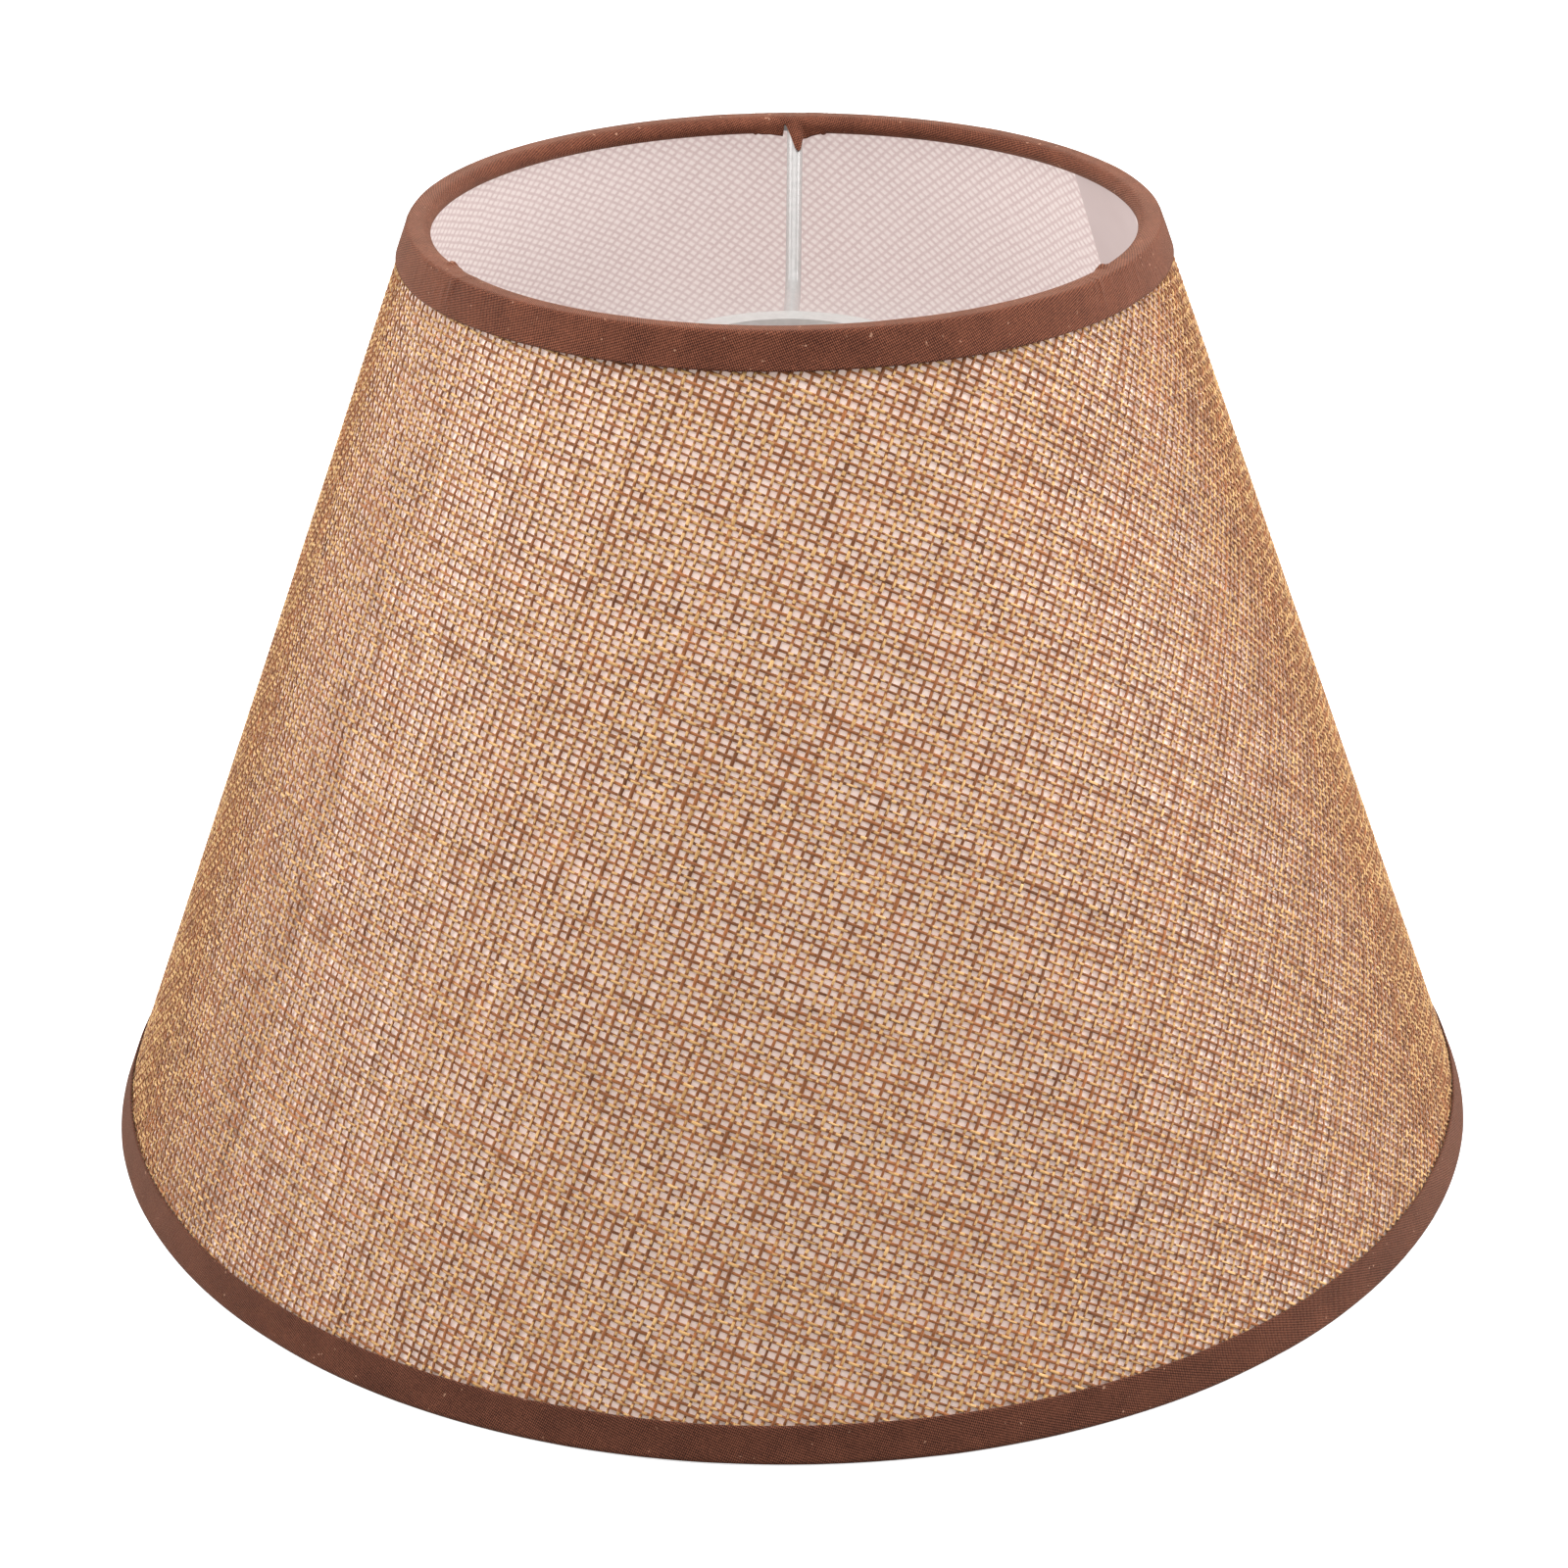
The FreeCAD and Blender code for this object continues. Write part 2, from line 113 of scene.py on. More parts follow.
class Shader:
    """One material's node tree, with short calls that add a node and link its inputs."""

    def __init__(self, name, **plain):
        self.material = bpy.data.materials.new(name)
        self.material.use_nodes = True
        self.tree = self.material.node_tree
        self.out = self.tree.nodes["Principled BSDF"]
        self.set(self.out, plain)

    def set(self, node, values):
        for key, value in values.items():
            socket = node.inputs[key]
            if isinstance(value, bpy.types.NodeSocket):
                self.tree.links.new(value, socket)
            else:
                socket.default_value = value

    def add(self, kind, values=None, **settings):
        node = self.tree.nodes.new("ShaderNode" + kind)
        for key, value in settings.items():
            setattr(node, key, value)
        self.set(node, values or {})
        return node

    def math(self, operation, *values):
        return self.add("Math", dict(enumerate(values)), operation=operation).outputs[0]

    def plus(self, a, b):
        return self.math("ADD", a, b)

    def minus(self, a, b):
        return self.math("SUBTRACT", a, b)

    def times(self, a, b):
        return self.math("MULTIPLY", a, b)

    def split(self, vector):
        return self.add("SeparateXYZ", {"Vector": vector}).outputs

    def noise(self, vector, scale, detail=3.0, roughness=0.5):
        values = {"Vector": vector, "Scale": scale, "Detail": detail, "Roughness": roughness}
        return self.add("TexNoise", values).outputs["Fac"]

    def ramp(self, fac, *stops):
        node = self.add("ValToRGB", {"Fac": fac})
        elements = node.color_ramp.elements
        while len(elements) < len(stops):
            elements.new(0.5)
        for element, (place, colour) in zip(elements, stops):
            element.position = place
            element.color = colour
        return node.outputs["Color"]

    def mix(self, fac, a, b, blend="MIX"):
        node = self.add("Mix", {0: fac, 6: a, 7: b}, data_type="RGBA", blend_type=blend)
        return node.outputs[2]

    def smooth(self, value, low, high):
        values = {"Value": value, "From Min": low, "From Max": high}
        return self.add("MapRange", values, interpolation_type="SMOOTHSTEP").outputs["Result"]

    def bump(self, height, distance, strength=1.0):
        values = {"Height": height, "Distance": distance, "Strength": strength}
        self.set(self.out, {"Normal": self.add("Bump", values).outputs["Normal"]})


# ---------------------------------------------------------------- camera, stage and light

CAMERA_PLACE = (0.0216, -0.6103, 0.3551)
CAMERA_YAW, CAMERA_PITCH, CAMERA_ROLL = -0.0370, -0.4477, -0.0097
LENS = 81.82
SENSOR = 36.0
SURROUND = 0.57                     # how strongly the white surround lights the object
FLOOR_HALF = 3.0
FLOOR_DROP = 0.0001                 # keeps the floor from meeting the bottom rim's faces
FLOOR_SHINE = 0.66                  # keeps the floor white to the camera out of the lamps' reach


def make_camera():
    """The photograph's viewpoint: 26 degrees down and a little right of the middle."""
    yaw, pitch, roll = CAMERA_YAW, CAMERA_PITCH, CAMERA_ROLL
    level_share = math.cos(pitch)
    ahead = Vector((math.sin(yaw) * level_share, math.cos(yaw) * level_share, math.sin(pitch)))
    level = Vector((math.cos(yaw), -math.sin(yaw), 0.0))
    above = level.cross(ahead)
    right = level * math.cos(roll) + above * math.sin(roll)
    up = above * math.cos(roll) - level * math.sin(roll)
    camera = bpy.data.objects.new("camera", bpy.data.cameras.new("camera"))
    camera.data.lens = LENS
    camera.data.sensor_width = SENSOR
    camera.data.clip_start = 0.01
    turned = Matrix((right, up, -ahead)).transposed().to_4x4()
    camera.matrix_world = Matrix.Translation(Vector(CAMERA_PLACE)) @ turned
    bpy.context.collection.objects.link(camera)
    bpy.context.scene.camera = camera


def make_stage():
    """A pale floor under a white surround."""
    world = bpy.data.worlds.new("studio")
    world.use_nodes = True
    tree = world.node_tree
    seen = tree.nodes.new("ShaderNodeLightPath").outputs["Is Camera Ray"]
    strength = tree.nodes.new("ShaderNodeMapRange")
    strength.inputs["To Min"].default_value = SURROUND
    strength.inputs["To Max"].default_value = 1.0
    tree.links.new(seen, strength.inputs["Value"])
    background = tree.nodes["Background"]
    background.inputs["Color"].default_value = (1.0, 1.0, 1.0, 1.0)
    tree.links.new(strength.outputs["Result"], background.inputs["Strength"])
    bpy.context.scene.world = world
    low, high = -FLOOR_HALF, FLOOR_HALF
    corners = [(low, low), (high, low), (high, high), (low, high)]
    mesh = bpy.data.meshes.new("floor")
    mesh.from_pydata([(x, y, -FLOOR_DROP) for x, y in corners], [], [(0, 1, 2, 3)])
    floor = bpy.data.objects.new("floor", mesh)
    bpy.context.collection.objects.link(floor)
    paint = Shader("floor", Roughness=0.9)
    seen = paint.add("LightPath").outputs["Is Camera Ray"]
    paint.set(paint.out, {"Base Color": paint.mix(seen, grey(0.25), grey(0.80))})
    paint.set(paint.out, {"Emission Color": (1.0, 1.0, 1.0, 1.0), "Specular IOR Level": 0.0})
    paint.set(paint.out, {"Emission Strength": paint.times(seen, FLOOR_SHINE)})
    mesh.materials.append(paint.material)


def make_light(name, place, size, power):
    """A soft box of size metres and power watts that faces the middle of the shade."""
    light = bpy.data.lights.new(name, "AREA")
    light.shape = "RECTANGLE"
    light.size, light.size_y = size
    light.energy = power
    lamp = bpy.data.objects.new(name, light)
    lamp.location = place
    middle = Vector((0.0, 0.0, 0.08))
    lamp.rotation_euler = (middle - Vector(place)).to_track_quat("-Z", "Y").to_euler()
    bpy.context.collection.objects.link(lamp)


def make_lights():
    make_light("left_softbox", (-0.97, -0.1, 0.65), (0.7, 0.9), 9.8)
    make_light("right_softbox", (0.98, 0.05, 0.55), (0.7, 0.9), 13.8)
    make_light("overhead", (0.0, -0.3, 1.0), (0.8, 0.8), 6.2)
    make_light("front_softbox", (0.1, -0.95, 0.8), (0.9, 0.7), 1.3)
    view = bpy.context.scene.view_settings
    view.view_transform = "Standard"
    view.look = "None"


# ---------------------------------------------------------------- meshes

def make_piece(name, points, faces, materials, face_material=None, flat_faces=None, uv=None):
    """A mesh from points in millimetres and a list of arrays of faces, riding on the one body."""
    counts = np.concatenate([np.full(len(f), f.shape[1]) for f in faces])
    corners = np.concatenate([f.ravel() for f in faces]).astype(np.int32)
    starts = np.concatenate([[0], np.cumsum(counts)[:-1]]).astype(np.int32)
    mesh = bpy.data.meshes.new(name)
    mesh.vertices.add(len(points))
    mesh.vertices.foreach_set("co", (np.asarray(points) * MM).astype(np.float32).ravel())
    mesh.loops.add(len(corners))
    mesh.loops.foreach_set("vertex_index", corners)
    mesh.polygons.add(len(counts))
    mesh.polygons.foreach_set("loop_start", starts)
    for material in materials:
        mesh.materials.append(material)
    if face_material is not None:
        mesh.polygons.foreach_set("material_index", face_material.astype(np.int32))
    mesh.update(calc_edges=True)
    smooth = np.ones(len(counts), bool)
    if flat_faces is not None:
        smooth[flat_faces] = False
    mesh.polygons.foreach_set("use_smooth", smooth)
    if uv is not None:
        layer = mesh.uv_layers.new(name="Tape")
        layer.data.foreach_set("uv", uv[corners].astype(np.float32).ravel())
    mesh.update()
    piece = bpy.data.objects.new(name, mesh)
    bpy.context.collection.objects.link(piece)
    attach(piece, "root")
    return piece


def on_wall(rho, phi, lift):
    """The point of the wall at (rho, phi), lift millimetres outside the cover's inner face."""
    turn = phi / SIN - math.pi / 2
    radius = rho * SIN + (lift - COVER_THICKNESS) * COS
    z = APEX - rho * COS + (lift - COVER_THICKNESS) * SIN
    return np.stack([radius * np.cos(turn), radius * np.sin(turn), z], axis=-1)


def wall_normal(phi):
    """Square to the wall and away from the axis."""
    turn = phi / SIN - math.pi / 2
    return np.stack([COS * np.cos(turn), COS * np.sin(turn), np.full_like(turn, SIN)], axis=-1)


def seam_phi(rho):
    """The outer seam's phi at rho. It isn't quite a generator, as the lap is as wide everywhere."""
    turn = LAP_TURN - np.arcsin(LAP_WIDTH / (np.clip(rho, RHO_MIN, RHO_MAX) * SIN))
    return (turn + math.pi / 2) * SIN


def unit(vectors):
    return vectors / np.linalg.norm(vectors, axis=-1, keepdims=True)


def smooth_step(value, low, high):
    """0 at low, 1 at high and smooth between."""
    share = np.clip((value - low) / (high - low), 0.0, 1.0)
    return share * share * (3 - 2 * share)


def smooth_noise(rows, columns, step, size):
    """Rows of smooth random wander along the columns, one bump about every step columns."""
    knots = rng.normal(0.0, size, (rows, columns // step + 3))
    at = np.arange(columns) / step
    low = np.floor(at).astype(int)
    share = smooth_step(at - low, 0.0, 1.0)
    return knots[:, low] * (1 - share) + knots[:, low + 1] * share


# ---------------------------------------------------------------- the woven cover

def yarn_palette():
    """The mottled yarn's shades, dark to light, of the red-brown ply and then of the golden one."""
    plies = {"red": ((104, 58, 28), (170, 105, 58)), "gold": ((168, 124, 74), (224, 181, 122))}
    made = []
    for ply, (dark, light) in plies.items():
        for i in range(SHADES):
            share = i / (SHADES - 1)
            shade = [a + (b - a) * share for a, b in zip(dark, light)]
            paint = Shader(f"yarn_{ply}_{i + 1}", Roughness=0.72)
            paint.set(paint.out, {"Base Color": srgb(*shade), "Specular IOR Level": 0.3})
            paint.set(paint.out, {"Sheen Weight": 0.75, "Sheen Roughness": 0.45})
            paint.set(paint.out, {"Sheen Tint": srgb(255, 224, 188)})
            made.append(paint.material)
    return made


def lattice():
    """The crossing points on the flat cloth, [yarn of set A, yarn of set B]."""
    across_a = np.array([-math.sin(A_TILT), math.cos(A_TILT)])
    across_b = np.array([math.cos(A_TILT), math.sin(A_TILT)])
    reach = RHO_MAX + 5.0
    ka = int(reach / A_PITCH) + 1
    kb = int(reach / B_PITCH) + 1
    na, nb = 2 * ka + 1, 2 * kb + 1
    shift_a = rng.normal(0.0, A_STRAY[0], (na, 1)) + smooth_noise(na, nb, 7, A_STRAY[1])
    shift_b = rng.normal(0.0, B_STRAY[0], (nb, 1)) + smooth_noise(nb, na, 7, B_STRAY[1])
    a = (np.arange(na) - ka)[:, None] * A_PITCH + shift_a
    b = (np.arange(nb) - kb)[None, :] * B_PITCH + shift_b.T
    return a[..., None] * across_a + b[..., None] * across_b


def runs_of(inside, group):
    """(start, stop) of each stretch of True whose group stays the same."""
    found = []
    start = None
    for j in range(len(inside)):
        if start is not None and (not inside[j] or group[j] != group[start]):
            found.append((start, j))
            start = None
        if start is None and inside[j]:
            start = j
    if start is not None:
        found.append((start, len(inside)))
    return found


def ply_shades(count, first):
    """A shade for each short length of one ply, which drifts over a few millimetres."""
    drift = smooth_noise(1, count, 4, 1.0)[0] + smooth_noise(1, count, 13, 0.8)[0]
    level = (SHADES - 1) / 2 + drift + rng.normal(0.0, 0.6) + rng.normal(0.0, 0.5, count)
    return first + np.clip(np.round(level), 0, SHADES - 1).astype(int)


def polar(flat):
    """(rho, phi) of points on the flat cloth."""
    return np.hypot(flat[..., 0], flat[..., 1]), np.arctan2(flat[..., 0], -flat[..., 1])


def hem_raise(rho, phi):
    """How far the folded hem beside the seam stands up, away from the tapes that press it flat."""
    off = rho * (phi - seam_phi(rho) + FULL_TURN)
    clear = smooth_step(rho, RHO_UNDER_TOP, RHO_UNDER_TOP + CLEAR_OF_TAPES)
    clear = clear * smooth_step(rho, RHO_OVER_HEM, RHO_OVER_HEM - CLEAR_OF_TAPES)
    return HEM_RAISE * smooth_step(off, HEM_WIDTH + HEM_SLOPE, HEM_WIDTH) * clear


def tuck(inner, outer):
    """The point where the yarn from inner to outer, on the flat cloth, meets the seam."""
    (rho_in, phi_in), (rho_out, phi_out) = polar(inner), polar(outer)
    edge_in, edge_out = seam_phi(rho_in), seam_phi(rho_out)
    if phi_in < edge_in - FULL_TURN / 2:
        edge_in, edge_out = edge_in - FULL_TURN, edge_out - FULL_TURN
    share = (phi_in - edge_in) / ((phi_in - edge_in) - (phi_out - edge_out))
    return inner + (outer - inner) * share * 0.97


def tube_rings(rho, phi, lift, width, depth):
    """Rings of points round a line on the wall, width along the wall and depth square to it."""
    middle = on_wall(rho, phi, lift)
    along = unit(np.gradient(middle, axis=0))
    side = unit(np.cross(along, wall_normal(phi)))
    out = np.cross(side, along)
    angle = np.arange(SIDES) * 2 * math.pi / SIDES
    wide = (width[:, None] / 2 * np.cos(angle))[..., None] * side[:, None]
    deep = (depth[:, None] / 2 * np.sin(angle))[..., None] * out[:, None]
    return middle[:, None] + wide + deep


def add_tube(into, rings, shade):
    """Adds the closed tube through the rings to a sector, with a shade for each of its faces."""
    index = into["size"] + np.arange(len(rings) * SIDES).reshape(-1, SIDES)
    nxt = np.roll(index, -1, axis=1)
    quads = np.stack([index[:-1], nxt[:-1], nxt[1:], index[1:]], axis=-1)
    into["points"].append(rings.reshape(-1, 3))
    into["quads"].append(quads.reshape(-1, 4))
    into["caps"].append(np.stack([index[0, ::-1], index[-1]]))
    into["shade"].append(shade)
    into["size"] += index.size


def add_fibres(into, phi_from, phi_to):
    """Loose fibres that stand off the yarns: thin curved hairs whose ends are in the cloth."""
    nearest, farthest = RHO_UNDER_TOP + CLEAR_OF_TAPES, RHO_OVER_HEM - CLEAR_OF_TAPES
    for _ in range(FIBRES):
        rho = math.sqrt(rng.uniform(nearest ** 2, farthest ** 2))
        phi = rng.uniform(phi_from, phi_to)
        heading = rng.uniform(0.0, 2 * math.pi)
        length = rng.uniform(1.2, 3.6)
        height = rng.uniform(0.25, 0.9)
        at = np.linspace(0.0, 1.0, 7)
        bend = rng.normal(0.0, 0.7) * at * (1 - at)
        run = length * at
        side = length * bend
        rho_line = rho + run * math.cos(heading) - side * math.sin(heading)
        phi_line = phi + (run * math.sin(heading) + side * math.cos(heading)) / rho
        seam = seam_phi(rho_line)
        if (phi_line > seam - 0.01).any() or (phi_line < seam - FULL_TURN + 0.01).any():
            continue
        arch = height * np.sin(at * math.pi * rng.uniform(0.75, 1.0))
        lift = FIBRE_FOOT + hem_raise(rho_line, phi_line) + arch
        thick = np.full(len(at), 2 * FIBRE_RADIUS)
        golden = rng.integers(SHADES + 3, 2 * SHADES)
        shade = np.full((len(at) - 1) * SIDES, golden)
        add_tube(into, tube_rings(rho_line, phi_line, lift, thick, thick), shade)


def yarn_shades(count):
    """A function that gives a shade to each face between two rings of one yarn."""
    red = ply_shades(count, 0)
    gold = ply_shades(count, SHADES)
    lean = smooth_noise(1, count, 6, 1.0)[0]
    mottle = smooth_noise(1, count, 4, 0.7)[0] + rng.normal(0.0, 0.7, count)

    def shades(part, over):
        # Painted light: the golden ply shows on the crowns as a painted highlight, broken by the
        # random mottle, and the red-brown one shows where the yarn dips and on its underside as
        # painted shade.
        ring, face = np.meshgrid(part[:-1], np.arange(SIDES), indexing="ij")
        crown = over[ring] + over[ring + 1] > 0.0
        dark_side = np.where(lean[ring] > 0.0, face == 2, face == 0)
        limit = np.where(dark_side, LIT_CROWN_GOLD_BELOW_DARK, LIT_CROWN_GOLD_BELOW)
        golden = crown & (face < 3) & (mottle[ring] < limit)
        return np.where(golden, gold[ring], red[ring]).ravel()

    return shades


def add_yarn(store, flat, over, width, phi_low):
    """One yarn through flat, points on the flat cloth, cut at the seam and between sectors."""
    count = len(flat)
    rho, phi = polar(flat)
    within = (rho > RHO_MIN) & (rho < RHO_MAX)
    if not within.any():
        return
    seam = seam_phi(rho)
    gap = SEAM_GAP / rho
    inside = within & (phi < seam - gap) & (phi > seam - FULL_TURN + gap)
    sector = np.floor((phi - phi_low) / FULL_TURN * SECTORS)
    sector = np.clip(sector, 0, SECTORS - 1).astype(int)
    slub = 1.0 + SLUB * rng.normal() + smooth_noise(1, count, 9, SLUB)[0]
    slub = np.clip(slub, 0.7, 1.35)
    shades = yarn_shades(count)
    for start, stop in runs_of(inside, sector):
        last = min(stop + 1, count) if stop < count and inside[stop] else stop
        if last - start < 2:
            continue
        part = np.arange(start, last)
        path = flat[part]
        tucked = np.zeros(len(part), bool)
        # A yarn that meets the seam turns in under it.
        if start > 0 and within[start - 1] and not inside[start - 1]:
            part = np.concatenate([[start - 1], part])
            path = np.concatenate([[tuck(flat[start], flat[start - 1])], path])
            tucked = np.concatenate([[True], tucked])
        if last < count and within[last] and not inside[last]:
            part = np.concatenate([part, [last]])
            path = np.concatenate([path, [tuck(flat[last - 1], flat[last])]])
            tucked = np.concatenate([tucked, [True]])
        path_rho, path_phi = polar(path)
        lift = COVER_THICKNESS / 2 + WAVE * over[part] + hem_raise(path_rho, path_phi)
        lift = np.where(tucked, TUCK_LIFT, lift)
        depth = slub[part] ** 0.5 * YARN_DEPTH
        rings = tube_rings(path_rho, path_phi, lift, width * slub[part], depth)
        add_tube(store[sector[start]], rings, shades(part, over))


def make_cover():
    """A plain weave of separate yarns in sectors, with a folded hem beside the seam."""
    crossings = lattice()
    palette = yarn_palette()
    store = [
        {"points": [], "quads": [], "caps": [], "shade": [], "size": 0}
        for _ in range(SECTORS)
    ]
    phi_low = seam_phi((RHO_MIN + RHO_MAX) / 2) - FULL_TURN
    for first_over, lines, width in (
        (1.0, crossings, YARN_WIDTH_A),
        (-1.0, crossings.transpose(1, 0, 2), YARN_WIDTH_B),
    ):
        for number, line in enumerate(lines):
            flat = np.empty((2 * len(line) - 1, 2))
            flat[0::2] = line
            flat[1::2] = (line[1:] + line[:-1]) / 2
            over = np.zeros(len(flat))
            even = (np.arange(len(line)) + number) % 2 == 0
            over[0::2] = np.where(even, first_over, -first_over)
            add_yarn(store, flat, over, width, phi_low)
    step = FULL_TURN / SECTORS
    for i, into in enumerate(store):
        add_fibres(into, phi_low + i * step, phi_low + (i + 1) * step)
        quads = np.concatenate(into["quads"])
        caps = np.concatenate(into["caps"])
        shade = np.concatenate(into["shade"] + [np.zeros(len(caps), int)])
        piece = make_piece(
            f"woven_cover_{i + 1:02d}",
            np.concatenate(into["points"]),
            [quads, caps],
            palette,
            shade,
            np.arange(len(quads), len(quads) + len(caps)),
        )
        if i == 0:
            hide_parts("fabric_cover")


def repaint(node, material):
    """Gives a CAD object this material alone."""
    NODES[node].data.materials.clear()
    NODES[node].data.materials.append(material)


# ---------------------------------------------------------------- the stiff backing

THROUGH_LIGHT = 0.62                # what the panel lets through to its inside
OUTWARD_GLOW = 0.07                 # what leaves through the meshes at the foot of the wall
GLOW_RISE = 0.13                    # and how much more does so at the top
ALBEDO = 0.45                       # how much of the inside's colour is lit by what falls on it
SHADOW_A = 0.20                     # half widths of the yarns' shadows, in shares of the pitch
SHADOW_B = 0.17
BEVEL_OFF = 0.6                     # from the lap's edge to the middle of its bevel


def weave_shadow(paint, place, x, y):
    """How much of the yarns' shadow shows on the inside of the panel."""
    turn = paint.math("ARCTAN2", y, x)
    past = paint.math("GREATER_THAN", turn, LAP_TURN)
    turn = paint.minus(turn, paint.times(past, 2 * math.pi))
    phi = paint.times(paint.plus(turn, math.pi / 2), SIN)
    radius = paint.math("SQRT", paint.plus(paint.times(x, x), paint.times(y, y)))
    rho = paint.math("DIVIDE", radius, SIN)
    u = paint.times(rho, paint.math("SINE", phi))
    v = paint.times(paint.times(rho, paint.math("COSINE", phi)), -1.0)
    drift = paint.add("TexNoise", {"Vector": place, "Scale": 90.0, "Detail": 1.0})
    sway = paint.split(drift.outputs["Color"])

    def line(u_share, v_share, pitch, wander, half):
        """1 where a yarn of this set lies behind the panel, blurred by the panel's thickness."""
        at = paint.plus(paint.times(u, u_share), paint.times(v, v_share))
        at = paint.math("DIVIDE", at, pitch * MM)
        at = paint.plus(at, paint.times(paint.minus(wander, 0.5), 0.5))
        off = paint.minus(paint.math("FRACT", paint.plus(at, 0.5)), 0.5)
        return paint.smooth(paint.math("ABSOLUTE", off), half + 0.16, half - 0.12)

    line_a = line(-math.sin(A_TILT), math.cos(A_TILT), A_PITCH, sway[0], SHADOW_A)
    line_b = line(math.cos(A_TILT), math.sin(A_TILT), B_PITCH, sway[1], SHADOW_B)
    crossing = paint.times(line_a, line_b)
    shadow = paint.plus(paint.math("MAXIMUM", line_a, line_b), paint.times(crossing, 0.35))
    # A fine speckle in how strongly the painted shadow shows.
    shadow_speckle = paint.noise(place, 700.0, 2.0)
    return paint.times(shadow, paint.plus(paint.times(shadow_speckle, 1.1), 0.3))


def add_lap(paint, woven, place, x, y):
    """The inside's colour with the lap: its second ply hides the weave and is painted a plain
    darker pink, painted shade for the light two plies hold back, and its pale edge is a painted
    highlight.
    """
    cos_lap, sin_lap = math.cos(LAP_TURN), math.sin(LAP_TURN)
    across = paint.minus(paint.times(y, cos_lap), paint.times(x, sin_lap))
    along = paint.plus(paint.times(x, cos_lap), paint.times(y, sin_lap))
    this_side = paint.math("GREATER_THAN", along, 0.0)
    lap = paint.math("GREATER_THAN", across, -LAP_WIDTH * MM)
    lap = paint.times(paint.math("LESS_THAN", across, 0.0), lap)
    cloudy = paint.noise(place, 60.0, 4.0)
    # Painted shade: the lap's plain colour is darker than the single ply's inside.
    plain = paint.ramp(cloudy, (0.3, srgb(200, 182, 179)), (0.7, srgb(206, 189, 186)))
    inner = paint.mix(paint.times(lap, this_side), woven, plain)
    # Painted highlight: a pale line along the lap's bevelled edge.
    step = paint.minus(paint.math("DIVIDE", across, -MM), LAP_WIDTH + BEVEL_OFF)
    bevel_highlight = paint.smooth(paint.math("ABSOLUTE", step), 0.7, 0.3)
    return paint.mix(paint.times(bevel_highlight, this_side), inner, srgb(240, 227, 223))


def make_backing():
    """The panel's own faces: cream where the meshes bare it, pale with the yarns' shadow inside."""
    paint = Shader("hardback_panel", Roughness=0.55)
    place = paint.add("TexCoord").outputs["Object"]
    x, y, z = paint.split(place)
    shadow = weave_shadow(paint, place, x, y)
    # The inside is painted with the yarns' shadow: painted shade where the yarns lie behind the
    # panel, lighter between them.
    light, middle, dark = srgb(242, 228, 224), srgb(231, 213, 209), srgb(217, 196, 193)
    woven = paint.ramp(shadow, (0.0, light), (0.55, middle), (1.0, dark))
    # Lower down, the painted weave shadow fades into a plain paler colour: painted light on the
    # lower inside.
    painted_light_low = paint.times(paint.smooth(z, 0.140, 0.110), 0.6)
    woven = paint.mix(painted_light_low, woven, srgb(240, 234, 230))
    inner = add_lap(paint, woven, place, x, y)

    # Outside, behind the meshes, the panel is cream and has no shadow of the weave.
    facing = paint.split(paint.add("NewGeometry").outputs["Normal"])
    outside = paint.math("GREATER_THAN", facing[2], 0.0)
    speck = paint.noise(place, 420.0, 2.0)
    cream = paint.ramp(speck, (0.35, srgb(249, 224, 212)), (0.65, srgb(252, 231, 220)))
    # What the panel lets through from outside lights its inside, a sixth less of it on the left.
    through = paint.times(paint.minus(1.0, outside), THROUGH_LIGHT)
    through = paint.times(through, paint.plus(paint.smooth(x, -0.075, -0.02), 5.0))
    through = paint.math("DIVIDE", through, 6.0)
    # Light that came in at the top opening leaves again through the meshes, less of it lower down.
    glow = paint.times(paint.smooth(z, 0.0, HEIGHT * MM), GLOW_RISE)
    glow = paint.times(paint.plus(glow, OUTWARD_GLOW), outside)
    dimmed = paint.mix(1.0, inner, grey(ALBEDO), "MULTIPLY")
    paint.set(paint.out, {"Base Color": paint.mix(outside, dimmed, cream)})
    paint.set(paint.out, {"Emission Color": paint.mix(outside, inner, cream)})
    paint.set(paint.out, {"Emission Strength": paint.plus(through, glow)})
    paint.set(paint.out, {"Specular IOR Level": 0.25})
    repaint("backing_panel", paint.material)


# ---------------------------------------------------------------- the binding tapes

TAPE = 0.35                         # the tape's thickness
FILM = 0.05                         # and that of the glue under it
MID = FILM + TAPE / 2
HOOP_RADIUS = 1.3                   # half as thick as the hoops' wire
ARM_RADIUS = 1.5                    # and as the fitter arms
ARM_GAP = 0.06
ARM_RISE = 0.834                    # how far an arm rises in a millimetre of its length
ARM_RUN = 0.552                     # and how far outwards it goes
OVER_HOOP = HOOP_RADIUS + MID       # from a wire's middle to that of the tape on it
OVER_ARM = ARM_RADIUS + ARM_GAP + MID
FOLD = 0.45                         # the radius of the fold over the wall's edge
WRAP_POINTS = 28                    # of the path round a hoop
WRAP_END = 285.0                    # how far round the hoop the tape goes, in degrees
HELD_POINTS = 13                    # of that path, before a slit flap lets go of the hoop
FLAP_NEAR = 8.4                     # how far from an arm's middle the tape can hang loose
DRAPED = (1.5, 2.3)                 # where, from its middle, the tape leaves an arm and is clear
FLAP_LOOSE = (-4.9, 6.6)            # between these the tape at an arm is quite let go
PUCKER = 0.55                       # how high the tape bunches up over the arms in front
PUCKER_WIDE = 0.9
PUCKER_LONG = 0.7
BLUR = 25                           # azimuths over which the tape's swell is evened out
LOWEST = 0.02                       # the tape is pressed flat where the shade stands
RIB_PITCH = 0.00036                 # in metres, as the tape's own coordinates are
WEFT_PITCH = 0.00042


